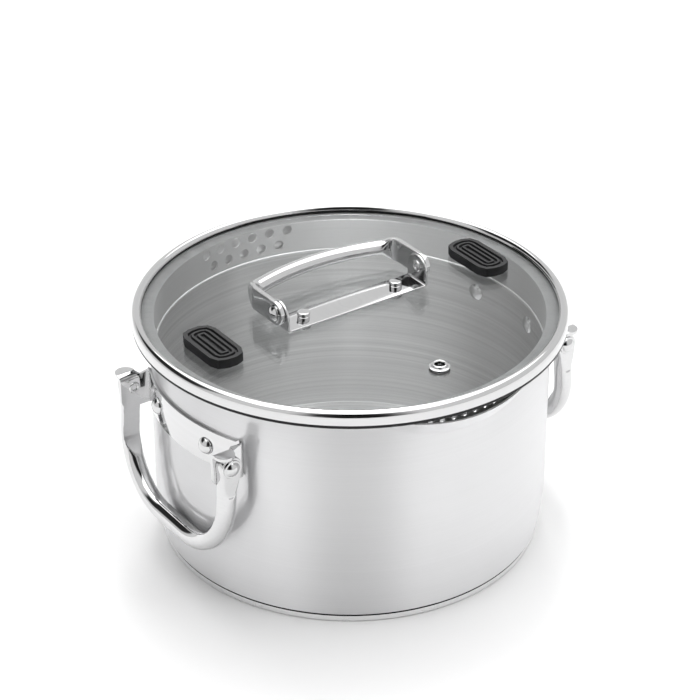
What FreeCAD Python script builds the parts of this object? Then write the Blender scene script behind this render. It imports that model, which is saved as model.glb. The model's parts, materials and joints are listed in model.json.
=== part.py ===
import FreeCAD, Part
import Sketcher
import math
import os

# Water bath canner: a stainless pot with two pouring lips, a flat glass lid with a strainer
# skirt, two drop handles on the pot and a folding bail on the lid.
# Millimetres, +Z up. The origin is the centre of the base, on the surface that it stands on.
# +X runs through the right handle, and the two pouring lips face -Y and +Y.

DIMENSIONS = {
    # pot shell
    "body_diameter": 260.0,        # outside of the straight wall
    "body_height": 153.0,          # bench to the flat top of the rim
    "wall": 1.0,
    "floor_height": 5.6,           # underside of the pot floor, and thickness of the base disc
    "floor_thickness": 1.2,
    "taper_height": 34.0,          # the wall draws in over this height above the base
    "taper_inset": 3.0,
    "rim_flare": 5.0,              # upper radius of the outward rim
    "rim_reach": 7.0,              # how far the rim stands out from the wall
    # pouring lips
    "spout_height": 19.0,
    "spout_offset": 50.0,          # axis of the lip's cone from the pot's axis
    "spout_bulge": 12.5,           # how far the cone stands out of the wall at the rim
    "notch_depth": 7.0,
    "notch_width": 112.0,
    # encapsulated base
    "cap_step": 0.8,               # the base disc is this much smaller than the pot's foot
    "cap_sheet": 0.8,
    "cap_edge": 1.6,
    "core_gap": 0.1,
    # side handle brackets
    "bracket_sheet": 2.0,
    "bracket_height": 24.0,
    "bracket_drop": 39.4,          # rim top to the middle of the bracket
    "ear_spread": 112.0,           # outside of one ear to outside of the other
    "ear_reach": 11.0,             # end of the ear beyond the wall
    "ear_corner": 6.0,
    "tab_length": 10.0,
    "tab_width": 14.0,
    "bracket_rivet_angle": 12.6,   # each side of the bracket's middle
    "bracket_rivet_shank": 5.0,
    "bracket_rivet_head": 11.5,
    "bracket_rivet_rise": 4.0,
    "head_gap": 0.15,              # flat rivet head to the curved inside of the wall
    # side handles
    "pivot_offset": 1.4,           # pivot beyond the wall
    "pivot_rise": 2.0,             # pivot above the middle of the bracket
    "grip_diameter": 12.5,
    "grip_drop": 72.0,             # pivot to the middle of the grip
    "grip_corner": 44.0,
    "strap_width": 15.0,
    "strap_sheet": 7.2,
    "strap_length": 22.0,          # the flattened eye runs into the tube over this length
    "strap_tip": 8.0,              # its width there
    "leg_set": 1.75,               # inner face of the eye to the middle of the tube
    "tube_start": 6.0,             # the round tube begins this far from the pivot
    "flat_outside": 19.5,          # pivot to the end of the outer flat
    "flat_inside": 34.0,           # pivot to the end of the flat that clears the ear
    "side_gap": 0.3,               # ear to handle
    "rest_gap": 0.4,               # hanging grip to the wall
    # pivot rivets of the side handles and of the lid bail
    "pivot_shank": 5.0,
    "pivot_fit": 0.06,
    "pivot_head": 12.4,
    "pivot_rise_head": 3.2,
    "pivot_tail": 8.0,
    "pivot_tail_rise": 1.0,
    "pivot_hollow": 3.4,
    # lid
    "lid_sheet": 1.0,
    "glass_thickness": 5.0,
    "glass_overhang": 0.5,         # edge of the glass beyond the pot's rim
    "glass_gap": 0.1,
    "rim_band": 3.1,               # how far the band stands out beyond the glass
    "rim_lip": 3.5,                # how far the band's lip lies on the glass
    "rim_crown": 4.0,              # height of the band above the glass
    "rim_skirt": 1.0,              # how far the band hangs below the pot's rim
    "skirt_clearance": 1.5,        # skirt to the inside of the wall
    "skirt_depth": 24.0,
    # strainer holes
    "large_hole": 7.0,
    "large_pitch": 6.0,            # degrees
    "large_top": 4.0,              # below the rim
    "large_step": 10.3,
    "large_upper_count": 6,
    "large_lower_count": 5,
    "small_hole": 3.4,
    "small_pitch": 3.6,            # degrees
    "small_top": 5.0,
    "small_step": 5.5,
    "small_outer_count": 11,       # in the upper and the lower row
    "small_middle_count": 10,
    # vent
    "vent_inset": 41.5,            # edge of the glass to the middle of the vent
    "vent_bore": 6.2,
    "vent_tube": 8.4,
    "vent_flange": 13.4,
    "vent_rise": 2.6,
    "vent_foot": 1.6,
    # thumb pads
    "pad_inset": 33.5,             # edge of the glass to the middle of the pad
    "pad_length": 46.0,
    "pad_width": 23.0,
    "pad_height": 6.2,
    # lid handle
    "lid_bracket_span": 109.6,     # outside of one ear to outside of the other
    "lid_bracket_width": 20.4,
    "lid_bracket_sheet": 1.6,
    "lid_pivot_height": 11.5,      # above the underside of the bracket plate
    "lid_ear_drop": 2.2,           # pivot to the middle of the ear's round top
    "gasket_height": 0.7,
    "gasket_diameter": 11.0,
    "screw_inset": 18.8,           # outside of the ear to the screw
    "screw_shank": 5.0,
    "screw_head": 9.0,
    "screw_head_rise": 2.8,
    "glass_bore": 7.0,
    "nut_diameter": 8.4,
    "nut_height": 4.4,
    "bail_sheet": 3.2,
    "bail_height": 16.4,
    "bail_reach": 43.0,            # pivot to the middle of the grip
    "bail_corner": 13.0,
    "bail_bow": 150.0,             # radius of the bowed grip
    "bail_grip": 10.2,
    "bail_overlap": 1.5,           # how far the grip runs past the straps' ends
}

doc = FreeCAD.newDocument("WaterBathCanner")
sheet = doc.addObject("Spreadsheet::Sheet", "Dims")
for row, (alias, value) in enumerate(DIMENSIONS.items(), start=1):
    sheet.set(f"A{row}", alias)
    sheet.set(f"B{row}", str(value))
    sheet.setAlias(f"B{row}", alias)
doc.recompute()


def size(formula):
    """Write a formula of plain dimension names as an expression on the sheet."""
    words = sorted(DIMENSIONS, key=len, reverse=True)
    out, rest = "", str(formula)
    while rest:
        word = next((w for w in words if rest.startswith(w)), None)
        if word:
            out += "Dims." + word
            rest = rest[len(word):]
        else:
            out += rest[0]
            rest = rest[1:]
    return out


def value(formula):
    """The present value of a formula."""
    result = sheet.evalExpression(size(formula))
    return float(getattr(result, "Value", result))


# ---- derived places, as formulas of the sheet ----

WALL_R = "(body_diameter / 2)"
FOOT_R = f"({WALL_R} - taper_inset)"
TAPER_R = "((taper_height * taper_height + taper_inset * taper_inset) / (2 * taper_inset))"
CAP_R = f"({FOOT_R} - cap_step)"
BRACKET_Z = "(body_height - bracket_drop)"
PIVOT_X = f"({WALL_R} + pivot_offset)"
PIVOT_Z = f"({BRACKET_Z} + pivot_rise)"
EAR_Y = "(ear_spread / 2)"
STRAP_Y = f"({EAR_Y} + side_gap)"
LEG_Y = f"({STRAP_Y} + leg_set)"
GRIP_Z = f"({PIVOT_Z} - grip_drop)"
IN_TAPER = f"max(floor_height + taper_height - {GRIP_Z}; 0)"     # how far the grip hangs into the taper
GRIP_WALL_R = f"({WALL_R} - {TAPER_R} + sqrt({TAPER_R} * {TAPER_R} - {IN_TAPER} * {IN_TAPER}))"
LEAN = f"asin(({GRIP_WALL_R} + grip_diameter / 2 + rest_gap - {PIVOT_X}) / grip_drop)"
GLASS_Z = "(body_height + lid_sheet)"
GLASS_TOP = f"({GLASS_Z} + glass_thickness)"
PLATE_Z = f"({GLASS_TOP} + gasket_height)"
BAIL_Z = f"({PLATE_Z} + lid_pivot_height)"
LID_EAR_X = "(lid_bracket_span / 2)"
BAIL_X = f"({LID_EAR_X} + side_gap + bail_sheet / 2)"
SKIRT_R = f"({WALL_R} - wall - skirt_clearance)"
GLASS_R = f"({WALL_R} + rim_reach + glass_overhang)"
VENT_Y = f"({GLASS_R} - vent_inset)"
PAD_X = f"({GLASS_R} - pad_inset)"
SCREW_X = f"({LID_EAR_X} - screw_inset)"


# ---- building blocks ----

def add(kind, name, sizes, base=("0", "0", "0"), axis=None, angle="0"):
    """A document object with its sizes and its place bound to the sheet."""
    thing = doc.addObject(kind, name)
    for prop, formula in sizes.items():
        thing.setExpression(prop, size(formula))
    if axis:
        thing.Placement.Rotation = FreeCAD.Rotation(FreeCAD.Vector(*axis), 1)
        thing.setExpression("Placement.Rotation.Angle", size(angle))
    for letter, formula in zip("xyz", base):
        thing.setExpression(f"Placement.Base.{letter}", size(formula))
    return thing


def box(name, low, high):
    """A box between two corners given as formulas."""
    lengths = {p: f"{b} - ({a})" for p, a, b in zip(("Length", "Width", "Height"), low, high)}
    return add("Part::Box", name, lengths, low)


def cylinder(name, radius, height, base=("0", "0", "0"), axis=None, angle="0"):
    return add("Part::Cylinder", name, {"Radius": radius, "Height": height}, base, axis, angle)


def fuse(name, shapes):
    thing = doc.addObject("Part::MultiFuse", name)
    thing.Shapes = shapes
    thing.Refine = True
    return thing


def cut(name, base, tool):
    thing = doc.addObject("Part::Cut", name)
    thing.Base = base
    thing.Tool = tool
    return thing


def group(name, shapes):
    """Separate solids of one sub-part."""
    thing = doc.addObject("Part::Compound", name)
    thing.Links = shapes
    return thing


def origin_feature(body, role):
    return next(f for f in body.Origin.OriginFeatures if f.Role == role)


def sketch_on(body, plane, name):
    sketch = body.newObject("Sketcher::SketchObject", name)
    sketch.AttachmentSupport = [(origin_feature(body, plane), "")]
    sketch.MapMode = "FlatFace"
    return sketch


def bind_point(sketch, geometry, end, formulas):
    """Hold a point of a line or arc at a place given by two formulas; None leaves a way free."""
    for kind, own_axis, formula in zip(("DistanceX", "DistanceY"), (-2, -1), formulas):
        if formula is None:
            continue
        if formula == "0":
            sketch.addConstraint(Sketcher.Constraint("PointOnObject", geometry, end, own_axis))
        else:
            index = sketch.addConstraint(Sketcher.Constraint(kind, geometry, end, value(formula)))
            sketch.setExpression(f"Constraints[{index}]", size(formula))


def arc_between(start, end, radius, side):
    """The short arc from start to end; side 1 bulges to the left of the way, -1 to the right."""
    chord = end - start
    left = FreeCAD.Vector(-chord.y, chord.x, 0).normalize()
    rise = radius - math.sqrt(max(radius * radius - chord.Length ** 2 / 4, 0))
    return Part.Arc(start, (start + end) / 2 + left * rise * side, end)


def outline(sketch, points, arcs=None, closed=True):
    """Draw an outline through points. arcs gives the radius and side of the curved stretches."""
    arcs = arcs or {}
    places = [FreeCAD.Vector(value(x), value(y), 0) for x, y in points]
    count = len(points) if closed else len(points) - 1
    ends = []
    for index in range(count):
        start, end = places[index], places[(index + 1) % len(points)]
        if index in arcs:
            radius, side = arcs[index]
            geometry = sketch.addGeometry(arc_between(start, end, value(radius), side))
            first = 1 if sketch.getPoint(geometry, 1).isEqual(start, 1e-4) else 2
            if math.isclose((end - start).Length, 2 * value(radius), rel_tol=1e-6):
                x, y = points[index]
                level = math.isclose(start.y, end.y, abs_tol=1e-6)
                bind_point(sketch, geometry, 3, (None, y) if level else (x, None))
            else:
                held = sketch.addConstraint(Sketcher.Constraint("Radius", geometry, value(radius)))
                sketch.setExpression(f"Constraints[{held}]", size(radius))
        else:
            geometry = sketch.addGeometry(Part.LineSegment(start, end))
            first = 1
        ends.append((geometry, first, 3 - first))
        bind_point(sketch, geometry, first, points[index])
    for here, after in zip(ends, ends[1:]):
        sketch.addConstraint(Sketcher.Constraint("Coincident", here[0], here[2], after[0], after[1]))
    if closed:
        last, opening = ends[-1], ends[0]
        meet = Sketcher.Constraint("Coincident", last[0], last[2], opening[0], opening[1])
        sketch.addConstraint(meet)
    else:
        bind_point(sketch, ends[-1][0], ends[-1][2], points[-1])


def turned(name, points, arcs=None):
    """A body turned about its own Z axis from an outline in X and Z."""
    body = doc.addObject("PartDesign::Body", name)
    sketch = sketch_on(body, "XZ_Plane", name + "_outline")
    outline(sketch, points, arcs)
    turn = body.newObject("PartDesign::Revolution", name + "_turned")
    turn.Profile = sketch
    turn.ReferenceAxis = (origin_feature(body, "Z_Axis"), [""])
    turn.Angle = 360.0
    return body


def plate(name, plane, points, thickness, arcs=None, holes=(), offset="0"):
    """A flat body: an outline with round holes, padded from offset along its plane's normal."""
    body = doc.addObject("PartDesign::Body", name)
    sketch = sketch_on(body, plane, name + "_outline")
    outline(sketch, points, arcs)
    for place, radius in holes:
        centre = FreeCAD.Vector(value(place[0]), value(place[1]), 0)
        circle = sketch.addGeometry(Part.Circle(centre, FreeCAD.Vector(0, 0, 1), value(radius)))
        held = sketch.addConstraint(Sketcher.Constraint("Radius", circle, value(radius)))
        sketch.setExpression(f"Constraints[{held}]", size(radius))
        bind_point(sketch, circle, 3, place)
    sketch.setExpression("AttachmentOffset.Base.z", size(offset))
    pad = body.newObject("PartDesign::Pad", name + "_pad")
    pad.Profile = sketch
    pad.setExpression("Length", size(thickness))
    return body


def put(thing, base=("0", "0", "0"), rotation=None):
    """Place a body: a fixed rotation, and a base bound to the sheet."""
    if rotation:
        thing.Placement.Rotation = rotation
    for letter, formula in zip("xyz", base):
        thing.setExpression(f"Placement.Base.{letter}", size(formula))
    return thing


def turn_about(axis, degrees):
    return FreeCAD.Rotation(FreeCAD.Vector(*axis), degrees)


HALF_TURN = {"right": 0.0, "left": 180.0}
nodes = {}


def node(name, thing, side=None):
    """Register a finished sub-part. A left-hand one is the right-hand one turned half round."""
    if side:
        holder = group(name, [thing])
        holder.Placement = FreeCAD.Placement(FreeCAD.Vector(), turn_about((0, 0, 1), HALF_TURN[side]))
        thing = holder
    thing.Label = name
    nodes[name] = thing


# ---- pot shell ----

def pot_body():
    top, flare = "body_height", "rim_flare"
    shell = turned("pot_turned", [
        ("0", "floor_height"),
        (FOOT_R, "floor_height"),
        (WALL_R, "floor_height + taper_height"),
        (WALL_R, f"{top} - {flare}"),
        (f"{WALL_R} + {flare} - wall", f"{top} - wall"),
        (f"{WALL_R} + rim_reach", f"{top} - wall"),
        (f"{WALL_R} + rim_reach", top),
        (f"{WALL_R} + {flare} - wall", top),
        (f"{WALL_R} - wall", f"{top} - {flare}"),
        (f"{WALL_R} - wall", "floor_height + taper_height"),
        (f"{FOOT_R} - wall", "floor_height + floor_thickness"),
        ("0", "floor_height + floor_thickness"),
    ], {1: (TAPER_R, -1), 3: (f"{flare} - wall", 1), 7: (flare, -1), 9: (TAPER_R, 1)})

    # each pouring lip is a cone that leaves the wall tangentially and opens towards the rim
    outer, inner = [], []
    for side, sign in (("front", "-"), ("rear", "")):
        foot = f"({WALL_R} - spout_offset)"
        base = ("0", f"{sign}spout_offset", "body_height - spout_height")
        cone = {"Radius1": foot, "Radius2": f"{foot} + spout_bulge", "Height": "spout_height"}
        bore = {"Radius1": f"{foot} - wall", "Radius2": f"{foot} + spout_bulge - wall",
                "Height": "spout_height"}
        outer.append(add("Part::Cone", f"{side}_lip_outer", cone, base))
        inner.append(add("Part::Cone", f"{side}_lip_inner", bore, base))
    inside = cylinder("mouth", f"{WALL_R} - wall", "spout_height + rim_reach",
                      ("0", "0", "body_height - spout_height"))
    notch_r = "((notch_width * notch_width / 4 + notch_depth * notch_depth) / (2 * notch_depth))"
    notch = cylinder("notch", notch_r, "2 * body_diameter",
                     ("0", "body_diameter", f"body_height - notch_depth + {notch_r}"), (1, 0, 0), "90")
    formed = cut("pot_formed", fuse("pot_with_lips", [shell] + outer), fuse("pot_room", inner + [inside]))
    trimmed = cut("pot_trimmed", formed, notch)
    holes = []
    for side, half_turn in HALF_TURN.items():
        for sign in "+-":
            hole = cylinder(f"{side}_wall_hole_{sign}", "bracket_rivet_shank / 2", "body_diameter",
                            ("0", "0", BRACKET_Z))
            aim_radially(hole, half_turn, sign)
            holes.append(hole)
    node("pot_body", cut("pot_body", trimmed, fuse("wall_holes", holes)))


def aim_radially(thing, half_turn, sign):
    """Lay a Z-axis shape along the radius of a bracket rivet."""
    bearing = half_turn + value(f"{sign}bracket_rivet_angle")
    thing.Placement.Rotation = turn_about((0, 0, 1), bearing) * turn_about((0, 1, 0), 90)


# ---- base ----

def base():
    node("base_cap", turned("base_cap", [
        ("0", "0"),
        (f"{CAP_R} - cap_edge", "0"),
        (CAP_R, "cap_edge"),
        (CAP_R, "floor_height"),
        (f"{CAP_R} - cap_sheet", "floor_height"),
        (f"{CAP_R} - cap_sheet", "cap_sheet"),
        ("0", "cap_sheet"),
    ], {1: ("cap_edge", -1)}))
    node("base_core", cylinder("base_core", f"{CAP_R} - cap_sheet - core_gap", "floor_height - cap_sheet",
                               ("0", "0", "cap_sheet")))


# ---- side handles ----

def handle_bracket(side):
    tag = side + "_bracket_"
    low, high = f"({BRACKET_Z} - bracket_height / 2)", f"({BRACKET_Z} + bracket_height / 2)"
    outer_r = f"({WALL_R} + bracket_sheet)"
    half_angle = f"asin(({EAR_Y} - bracket_sheet / 2) / {WALL_R})"
    band = add("Part::Cylinder", tag + "band",
               {"Radius": outer_r, "Height": "bracket_height", "Angle": f"2 * {half_angle}"},
               ("0", "0", low), (0, 0, 1), f"-{half_angle}")
    band = cut(tag + "plate", band, cylinder(tag + "wall", WALL_R, "bracket_height", ("0", "0", low)))
    pieces = [band]
    ear_x = f"sqrt({WALL_R} * {WALL_R} - {EAR_Y} * {EAR_Y}) + bracket_sheet"
    end_x = f"{WALL_R} + ear_reach"
    for sign, plane_low in (("+", f"{EAR_Y} - bracket_sheet"), ("-", f"-{EAR_Y}")):
        ear = plate(f"{tag}ear_{'rear' if sign == '+' else 'front'}", "XZ_Plane", [
            (ear_x, low), (f"{end_x} - ear_corner", low), (end_x, f"{low} + ear_corner"),
            (end_x, high), (ear_x, high),
        ], "bracket_sheet", {1: ("ear_corner", -1)}, [((PIVOT_X, PIVOT_Z), "pivot_shank / 2 + pivot_fit")],
            f"-({plane_low}) - bracket_sheet")
        way = "" if sign == "+" else "-"
        tip_y = f"{way}({EAR_Y} + tab_length - tab_width / 2)"
        near_y = f"{way}({EAR_Y} - bracket_sheet / 2)"
        span = sorted((near_y, tip_y), key=value)
        tab_z = f"{high} - bracket_sheet"
        tab = box(f"{tag}tab_{way or '+'}", (f"{end_x} - tab_width", span[0], tab_z), (end_x, span[1], high))
        tip = cylinder(f"{tag}tip_{way or '+'}", "tab_width / 2", "bracket_sheet",
                       (f"{end_x} - tab_width / 2", tip_y, tab_z))
        pieces += [ear, tab, tip]
    solid = fuse(tag + "formed", pieces)
    holes = []
    for sign in "+-":
        hole = cylinder(f"{tag}hole_{sign}", "bracket_rivet_shank / 2", "body_diameter",
                        ("0", "0", BRACKET_Z))
        aim_radially(hole, 0.0, sign)
        holes.append(hole)
    node(side + "_handle_bracket", cut(tag + "drilled", solid, fuse(tag + "holes", holes)), side)


def dome_rivet(name, shank, grip, head, rise, tail, tail_rise, hollow="0"):
    """A rivet along +Z: its shank fills 0 to grip, with the dome above and the upset tail below."""
    dome_r = f"(({head} * {head} / 4 + {rise} * {rise}) / (2 * {rise}))"
    points = [("0", f"-({tail_rise})"), (f"{tail} / 2", f"-({tail_rise})"), (f"{tail} / 2", "0"),
              (f"{shank} / 2", "0"), (f"{shank} / 2", grip), (f"{head} / 2", grip), ("0", f"{grip} + {rise}")]
    arc = {5: (dome_r, -1)}
    if hollow != "0":
        points = [("0", "0"), (f"{hollow} / 2", "0"), (f"{hollow} / 2", f"-({tail_rise})")] + points[1:]
        arc = {7: (dome_r, -1)}
    return turned(name, points, arc)


def pivot_rivet(name, grip):
    return dome_rivet(name, "pivot_shank", grip, "pivot_head", "pivot_rise_head", "pivot_tail",
                      "pivot_tail_rise", "pivot_hollow")


def bracket_rivets(side):
    rivets = []
    for sign in "+-":
        rivet = dome_rivet(f"{side}_bracket_rivet_{sign}", "bracket_rivet_shank",
                           "wall + head_gap + bracket_sheet", "bracket_rivet_head", "bracket_rivet_rise",
                           "bracket_rivet_head", "bracket_rivet_rise / 2")
        aim_radially(rivet, 0.0, sign)
        reach, turn = f"({WALL_R} - wall - head_gap)", f"({sign}bracket_rivet_angle)"
        put(rivet, (f"{reach} * cos({turn})", f"{reach} * sin({turn})", BRACKET_Z))
        rivets.append(rivet)
    node(side + "_bracket_rivets", group(side + "_bracket_rivet_pair", rivets), side)


def handle(side):
    """The drop handle, drawn hanging from its pivot in the YZ plane and leaned onto the wall."""
    tag = side + "_grip_"
    tube = doc.addObject("PartDesign::Body", tag + "tube")
    section = sketch_on(tube, "XY_Plane", tag + "section")
    section.addGeometry(Part.Circle(FreeCAD.Vector(0, value(LEG_Y), 0), FreeCAD.Vector(0, 0, 1),
                                    value("grip_diameter / 2")))
    held = section.addConstraint(Sketcher.Constraint("Radius", 0, value("grip_diameter / 2")))
    section.setExpression(f"Constraints[{held}]", size("grip_diameter / 2"))
    bind_point(section, 0, 3, ("0", LEG_Y))
    section.setExpression("AttachmentOffset.Base.z", size("-tube_start"))
    path = sketch_on(tube, "YZ_Plane", tag + "path")
    turn_z, bar_y = "-(grip_drop - grip_corner)", f"({LEG_Y} - grip_corner)"
    outline(path, [(LEG_Y, "-tube_start"), (LEG_Y, turn_z), (bar_y, "-grip_drop"),
                   (f"-{bar_y}", "-grip_drop"), (f"-{LEG_Y}", turn_z), (f"-{LEG_Y}", "-tube_start")],
            {1: ("grip_corner", 1), 3: ("grip_corner", 1)}, closed=False)
    pipe = tube.newObject("PartDesign::AdditivePipe", tag + "pipe")
    pipe.Profile = section
    pipe.Spine = (path, [f"Edge{n}" for n in range(1, 6)])
    straps = []
    for end, offset in (("rear", f"-({STRAP_Y}) - strap_sheet"), ("front", STRAP_Y)):
        straps.append(plate(f"{tag}strap_{end}", "XZ_Plane", [
            ("strap_width / 2", "0"), ("-strap_width / 2", "0"),
            ("-strap_tip / 2", "-strap_length"), ("strap_tip / 2", "-strap_length"),
        ], "strap_sheet", {0: ("strap_width / 2", -1)},
            [(("0", "0"), "pivot_shank / 2 + pivot_fit")], offset))
    whole = fuse(side + "_bail_whole", [tube] + straps)
    flats = [box(f"{tag}flat_inside", ("-strap_width", f"-({STRAP_Y})", "-flat_inside"),
                 ("strap_width", STRAP_Y, "strap_width"))]
    for end, low, high in (("front", f"{STRAP_Y} + strap_sheet", f"{STRAP_Y} + 2 * strap_sheet"),
                           ("rear", f"-({STRAP_Y} + 2 * strap_sheet)", f"-({STRAP_Y} + strap_sheet)")):
        flats.append(box(f"{tag}flat_{end}", ("-strap_width", low, "-flat_outside"),
                         ("strap_width", high, "strap_width")))
    bail = cut(side + "_bail", whole, fuse(side + "_flats", flats))
    bail.Placement.Rotation = turn_about((0, 1, 0), -value(LEAN))
    put(bail, (PIVOT_X, "0", PIVOT_Z))
    node(side + "_handle", bail, side)


def pivot_rivets(side):
    rivets = []
    for sign, angle in (("+", -90), ("-", 90)):
        rivet = pivot_rivet(f"{side}_pivot_rivet_{sign}", "bracket_sheet + side_gap + strap_sheet")
        put(rivet, (PIVOT_X, f"{sign}({EAR_Y} - bracket_sheet)", PIVOT_Z), turn_about((1, 0, 0), angle))
        rivets.append(rivet)
    node(side + "_pivot_rivets", group(side + "_pivot_rivet_pair", rivets), side)


# ---- lid ----

def strainer_ring():
    """The flange under the glass and the perforated skirt that hangs into the pot."""
    inner = f"({SKIRT_R} - lid_sheet)"
    body = turned("strainer_ring", [
        (SKIRT_R, "body_height - skirt_depth"),
        (SKIRT_R, "body_height"),
        (GLASS_R, "body_height"),
        (GLASS_R, GLASS_Z),
        (inner, GLASS_Z),
        (inner, "body_height - skirt_depth"),
    ])
    rear, front = 90, -90
    hole_row(body, "large_upper", rear, "large_top", "large_upper_count")
    hole_row(body, "large_lower", rear, "large_top + large_step", "large_lower_count")
    hole_row(body, "small_upper", front, "small_top", "small_outer_count")
    hole_row(body, "small_middle", front, "small_top + small_step", "small_middle_count")
    hole_row(body, "small_lower", front, "small_top + 2 * small_step", "small_outer_count")
    node("strainer_ring", body)


def hole_row(body, name, facing, drop, count):
    """A row of holes through one side of the skirt, centred on the facing direction."""
    kind = name.split("_")[0]
    diameter, pitch = kind + "_hole", kind + "_pitch"
    spread = f"({pitch} * ({count} - 1))"
    sketch = sketch_on(body, "YZ_Plane", name + "_hole")
    first = facing - value(spread) / 2
    sketch.AttachmentOffset = FreeCAD.Placement(FreeCAD.Vector(), turn_about((0, 1, 0), first))
    centre = FreeCAD.Vector(0, value(f"body_height - ({drop})"), 0)
    circle = sketch.addGeometry(Part.Circle(centre, FreeCAD.Vector(0, 0, 1), value(diameter) / 2))
    held = sketch.addConstraint(Sketcher.Constraint("Diameter", circle, value(diameter)))
    sketch.setExpression(f"Constraints[{held}]", size(diameter))
    bind_point(sketch, circle, 3, ("0", f"body_height - ({drop})"))
    pocket = body.newObject("PartDesign::Pocket", name + "_pocket")
    pocket.Profile = sketch
    pocket.setExpression("Length", size("body_diameter"))
    pocket.Reversed = True
    pattern = body.newObject("PartDesign::PolarPattern", name + "_row")
    pattern.Originals = [pocket]
    pattern.Axis = (origin_feature(body, "Z_Axis"), [""])
    pattern.setExpression("Angle", size(spread))
    pattern.setExpression("Occurrences", size(count))
    body.Tip = pattern


def lid_rim():
    """The rolled band that clamps the glass onto the strainer's flange."""
    edge = f"({GLASS_R} + glass_gap)"
    outer, lip_r = f"({edge} + rim_band)", f"({edge} - rim_lip)"
    top = f"({GLASS_TOP} + rim_crown)"
    low = "(body_height - rim_skirt)"
    node("lid_rim", turned("lid_rim", [
        (lip_r, GLASS_TOP),
        (edge, GLASS_TOP),
        (edge, low),
        (f"{outer} - lid_sheet", low),
        (outer, f"{low} + 2 * lid_sheet"),
        (outer, f"{top} - rim_crown"),
        (f"{outer} - rim_crown", top),
        (f"{lip_r} + lid_sheet", f"{top} - lid_sheet"),
    ], {5: ("rim_crown", -1)}))


def lid_glass():
    """The flat pane: round, so its outline is two half circles."""
    holes = [((SCREW_X, "0"), "glass_bore / 2"), ((f"-{SCREW_X}", "0"), "glass_bore / 2"),
             (("0", f"-{VENT_Y}"), "vent_tube / 2 + pivot_fit")]
    node("lid_glass", plate("lid_glass", "XY_Plane", [(GLASS_R, "0"), (f"-{GLASS_R}", "0")],
                            "glass_thickness", {0: (GLASS_R, -1), 1: (GLASS_R, -1)}, holes, GLASS_Z))


def vent_eyelet():
    bore, tube, flange = "vent_bore / 2", "vent_tube / 2", "vent_flange / 2"
    foot = "(-glass_thickness - vent_foot)"
    body = turned("vent_eyelet", [
        (bore, foot), (flange, foot), (flange, "-glass_thickness"), (tube, "-glass_thickness"),
        (tube, "0"), (flange, "0"), (f"{flange} - vent_rise / 2", "vent_rise"), (bore, "vent_rise"),
    ], {5: ("vent_rise", -1)})
    node("vent_eyelet", put(body, ("0", f"-{VENT_Y}", GLASS_TOP)))


def thumb_pad(side):
    half, end = "pad_width / 2", "(pad_length - pad_width) / 2"
    pad = plate(side + "_pad", "XY_Plane", [
        (f"{PAD_X} + {half}", f"-{end}"), (f"{PAD_X} + {half}", end),
        (f"{PAD_X} - {half}", end), (f"{PAD_X} - {half}", f"-{end}"),
    ], "pad_height", {1: (half, -1), 3: (half, -1)}, offset=GLASS_TOP)
    node(side + "_thumb_pad", pad, side)


# ---- lid handle ----

def lid_handle_bracket():
    half_w, ear_z = "lid_bracket_width / 2", f"({BAIL_Z} - lid_ear_drop)"
    strip = plate("lid_bracket_strip", "XY_Plane", [
        (f"-{LID_EAR_X}", f"-{half_w}"), (LID_EAR_X, f"-{half_w}"), (LID_EAR_X, half_w),
        (f"-{LID_EAR_X}", half_w)],
        "lid_bracket_sheet", None,
        [((x, "0"), "screw_shank / 2 + pivot_fit") for x in (SCREW_X, f"-{SCREW_X}")], PLATE_Z)
    ears = []
    for end, offset in (("right", f"{LID_EAR_X} - lid_bracket_sheet"), ("left", f"-{LID_EAR_X}")):
        ears.append(plate(f"lid_bracket_ear_{end}", "YZ_Plane", [
            (f"-{half_w}", PLATE_Z), (half_w, PLATE_Z), (half_w, ear_z), (f"-{half_w}", ear_z)],
            "lid_bracket_sheet", {2: (half_w, -1)}, [(("0", BAIL_Z), "pivot_shank / 2 + pivot_fit")], offset))
    node("lid_handle_bracket", fuse("lid_handle_bracket", [strip] + ears))


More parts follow.
